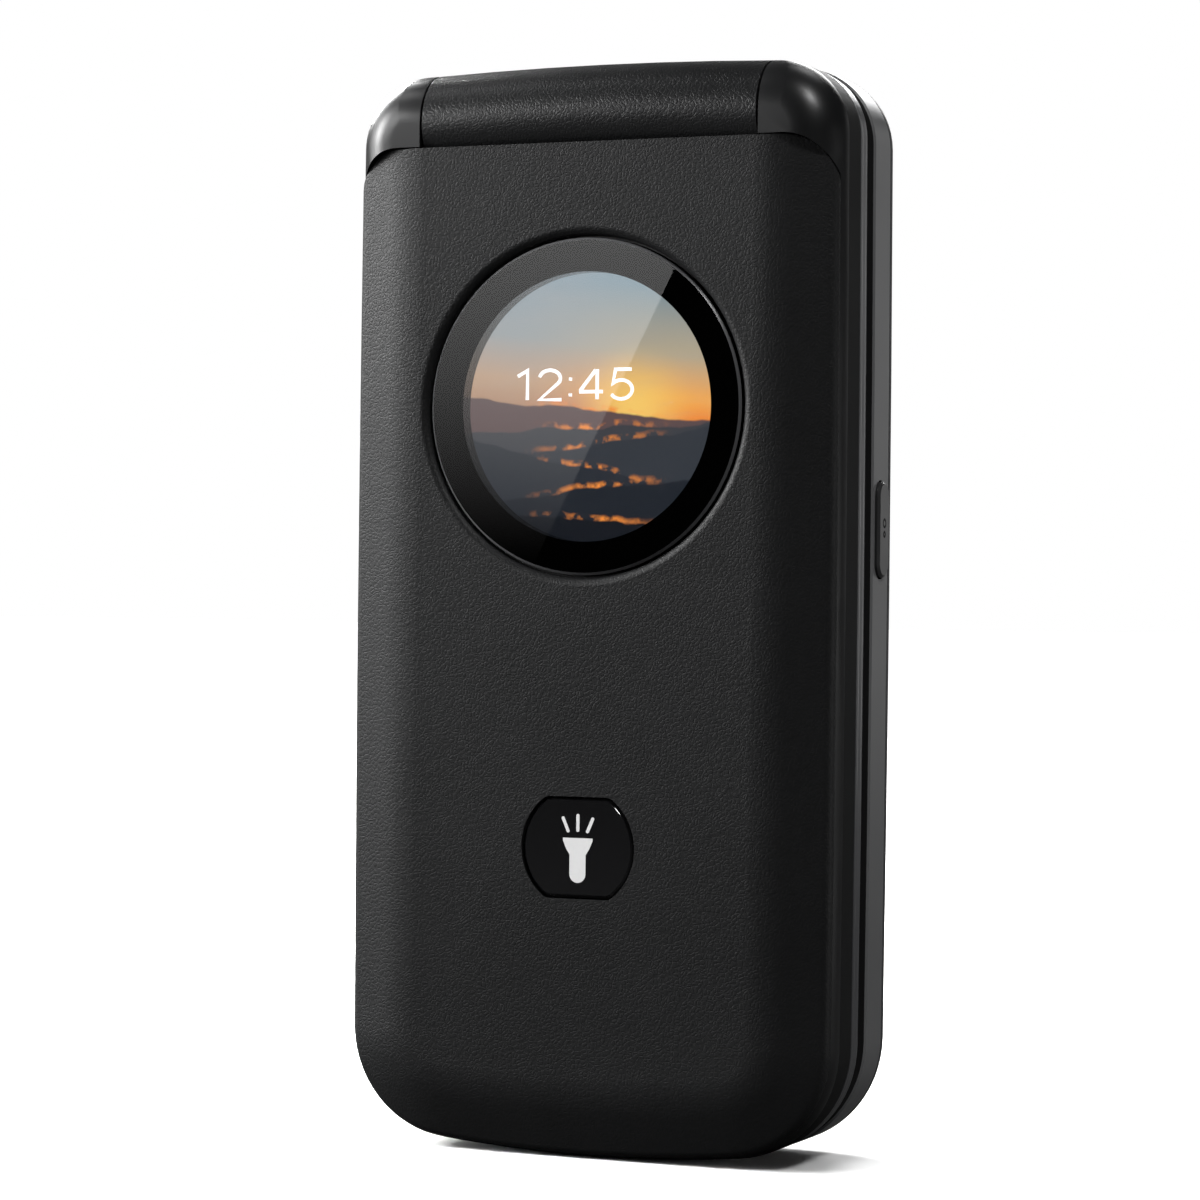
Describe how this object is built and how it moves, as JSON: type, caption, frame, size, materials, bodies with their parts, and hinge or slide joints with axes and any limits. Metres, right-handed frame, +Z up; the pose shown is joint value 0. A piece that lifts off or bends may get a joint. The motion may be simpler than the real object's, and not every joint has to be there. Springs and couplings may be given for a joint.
{
  "type": "flip phone",
  "caption": "Clamshell phone with a leather-textured lid, round outer display under glass, torch button, full keypad and satin hinge shoulders",
  "frame": {"origin": "middle of the foot of the closed phone, on the floor, at the middle of its width and depth", "axes": "+Z up the length from foot to hinge, +X to the right seen from the front of the lid, +Y back through the depth towards the battery cover"},
  "size_m": [0.0534, 0.0192, 0.1092],
  "materials": {
    "cover_texture": "leather-grain moulded soft-touch plastic",
    "satin_black": "fine satin black plastic",
    "grey_frame": "satin dark grey paint on the inner lid half",
    "base_shell": "satin dark grey plastic",
    "back_shell": "fine matte dark grey plastic",
    "gloss_black": "polished black plastic",
    "lens_glass": "clear hardened glass",
    "display_face": "display panel with a printed picture area",
    "key_face": "satin black key caps",
    "rubber_black": "soft black rubber",
    "board_green": "solder-masked circuit board",
    "shield_metal": "tinned sheet steel",
    "screw_steel": "blackened steel",
    "hinge_steel": "ground steel",
    "flex_film": "amber polyimide film",
    "battery_wrap": "dark battery case",
    "led_lens": "pale yellow moulded lens",
    "metal_trim": "silver-lacquered plastic"
  },
  "bodies": {
    "base": {"base_rear_housing": "base_shell", "base_front_housing": "satin_black", "back_cover": "back_shell", "barrel_cover": "cover_texture", "hinge_cartridge": "hinge_steel", "hinge_flex": "flex_film", "dome_sheet": "flex_film", "main_board": "board_green", "battery": "battery_wrap", "shield_can": "shield_metal", "sim_holder": "shield_metal", "antenna": "flex_film", "speaker": "rubber_black", "vibration_motor": "hinge_steel", "microphone": "shield_metal", "charge_port": "shield_metal", "camera_module": "gloss_black", "torch_led": "led_lens", "camera_window": "lens_glass", "base_screws": "screw_steel", "side_switches": "gloss_black"},
    "lid": {"lid_frame": "satin_black", "lid_cover": "cover_texture", "lid_bezel": "grey_frame", "outer_glass": "lens_glass", "lens_ring": "gloss_black", "outer_display": "display_face", "lid_board": "board_green", "inner_display": "display_face", "inner_window": "lens_glass", "receiver": "gloss_black", "receiver_mesh": "shield_metal", "lid_magnet": "hinge_steel", "lid_screws": "screw_steel", "lid_bumpers": "rubber_black", "hinge_cam_head": "hinge_steel", "hinge_pivot": "hinge_steel"},
    "torch_button": {"torch_button": "gloss_black"},
    "nav_pad": {"nav_pad": "rubber_black"},
    "nav_ring": {"nav_ring": "metal_trim"},
    "ok_key": {"ok_key": "key_face"},
    "side_key": {"side_key": "key_face"},
    "volume_rocker": {"volume_rocker": "key_face"},
    "soft_left_key": {"soft_left_key": "key_face"},
    "soft_right_key": {"soft_right_key": "key_face"},
    "call_key": {"call_key": "key_face"},
    "clear_key": {"clear_key": "key_face"},
    "end_key": {"end_key": "key_face"},
    "key_star": {"key_star": "key_face"},
    "key_hash": {"key_hash": "key_face"},
    "key_0": {"key_0": "key_face"},
    "key_1": {"key_1": "key_face"},
    "key_2": {"key_2": "key_face"},
    "key_3": {"key_3": "key_face"},
    "key_4": {"key_4": "key_face"},
    "key_5": {"key_5": "key_face"},
    "key_6": {"key_6": "key_face"},
    "key_7": {"key_7": "key_face"},
    "key_8": {"key_8": "key_face"},
    "key_9": {"key_9": "key_face"}
  },
  "joints": [
    {"name": "lid_hinge", "type": "hinge", "parent": "base", "child": "lid", "pos_m": [0, -0.00425, 0.10345], "axis": [-1, 0, 0], "range_deg": [0, 160]},
    {"name": "torch_press", "type": "slide", "parent": "lid", "child": "torch_button", "axis": [0, 1, 0], "range_m": [0, 0.0005], "stiffness_N_per_m": 300},
    {"name": "nav_pitch", "type": "hinge", "parent": "base", "child": "nav_pad", "pos_m": [0, 0.00275, 0.069], "axis": [1, 0, 0], "range_deg": [-1.2, 1.2], "stiffness_Nm_per_rad": 0.02},
    {"name": "nav_roll", "type": "hinge", "parent": "nav_pad", "child": "nav_ring", "pos_m": [0, 0.00275, 0.069], "axis": [0, 0, 1], "range_deg": [-1.2, 1.2], "stiffness_Nm_per_rad": 0.02},
    {"name": "side_key_press", "type": "slide", "parent": "base", "child": "side_key", "axis": [-1, 0, 0], "range_m": [0, 0.0004], "stiffness_N_per_m": 300},
    {"name": "rocker_tip", "type": "hinge", "parent": "base", "child": "volume_rocker", "pos_m": [-0.02425, 0.005, 0.0629], "axis": [0, 1, 0], "range_deg": [-2.5, 2.5], "stiffness_Nm_per_rad": 0.02},
    {"name": "ok_key_press", "type": "slide", "parent": "base", "child": "ok_key", "axis": [0, 1, 0], "range_m": [0, 0.00033], "stiffness_N_per_m": 300},
    {"name": "soft_left_key_press", "type": "slide", "parent": "base", "child": "soft_left_key", "axis": [0, 1, 0], "range_m": [0, 0.00033], "stiffness_N_per_m": 300},
    {"name": "soft_right_key_press", "type": "slide", "parent": "base", "child": "soft_right_key", "axis": [0, 1, 0], "range_m": [0, 0.00033], "stiffness_N_per_m": 300},
    {"name": "call_key_press", "type": "slide", "parent": "base", "child": "call_key", "axis": [0, 1, 0], "range_m": [0, 0.00033], "stiffness_N_per_m": 300},
    {"name": "clear_key_press", "type": "slide", "parent": "base", "child": "clear_key", "axis": [0, 1, 0], "range_m": [0, 0.00033], "stiffness_N_per_m": 300},
    {"name": "end_key_press", "type": "slide", "parent": "base", "child": "end_key", "axis": [0, 1, 0], "range_m": [0, 0.00033], "stiffness_N_per_m": 300},
    {"name": "key_star_press", "type": "slide", "parent": "base", "child": "key_star", "axis": [0, 1, 0], "range_m": [0, 0.00033], "stiffness_N_per_m": 300},
    {"name": "key_hash_press", "type": "slide", "parent": "base", "child": "key_hash", "axis": [0, 1, 0], "range_m": [0, 0.00033], "stiffness_N_per_m": 300},
    {"name": "key_0_press", "type": "slide", "parent": "base", "child": "key_0", "axis": [0, 1, 0], "range_m": [0, 0.00033], "stiffness_N_per_m": 300},
    {"name": "key_1_press", "type": "slide", "parent": "base", "child": "key_1", "axis": [0, 1, 0], "range_m": [0, 0.00033], "stiffness_N_per_m": 300},
    {"name": "key_2_press", "type": "slide", "parent": "base", "child": "key_2", "axis": [0, 1, 0], "range_m": [0, 0.00033], "stiffness_N_per_m": 300},
    {"name": "key_3_press", "type": "slide", "parent": "base", "child": "key_3", "axis": [0, 1, 0], "range_m": [0, 0.00033], "stiffness_N_per_m": 300},
    {"name": "key_4_press", "type": "slide", "parent": "base", "child": "key_4", "axis": [0, 1, 0], "range_m": [0, 0.00033], "stiffness_N_per_m": 300},
    {"name": "key_5_press", "type": "slide", "parent": "base", "child": "key_5", "axis": [0, 1, 0], "range_m": [0, 0.00033], "stiffness_N_per_m": 300},
    {"name": "key_6_press", "type": "slide", "parent": "base", "child": "key_6", "axis": [0, 1, 0], "range_m": [0, 0.00033], "stiffness_N_per_m": 300},
    {"name": "key_7_press", "type": "slide", "parent": "base", "child": "key_7", "axis": [0, 1, 0], "range_m": [0, 0.00033], "stiffness_N_per_m": 300},
    {"name": "key_8_press", "type": "slide", "parent": "base", "child": "key_8", "axis": [0, 1, 0], "range_m": [0, 0.00033], "stiffness_N_per_m": 300},
    {"name": "key_9_press", "type": "slide", "parent": "base", "child": "key_9", "axis": [0, 1, 0], "range_m": [0, 0.00033], "stiffness_N_per_m": 300}
  ]
}
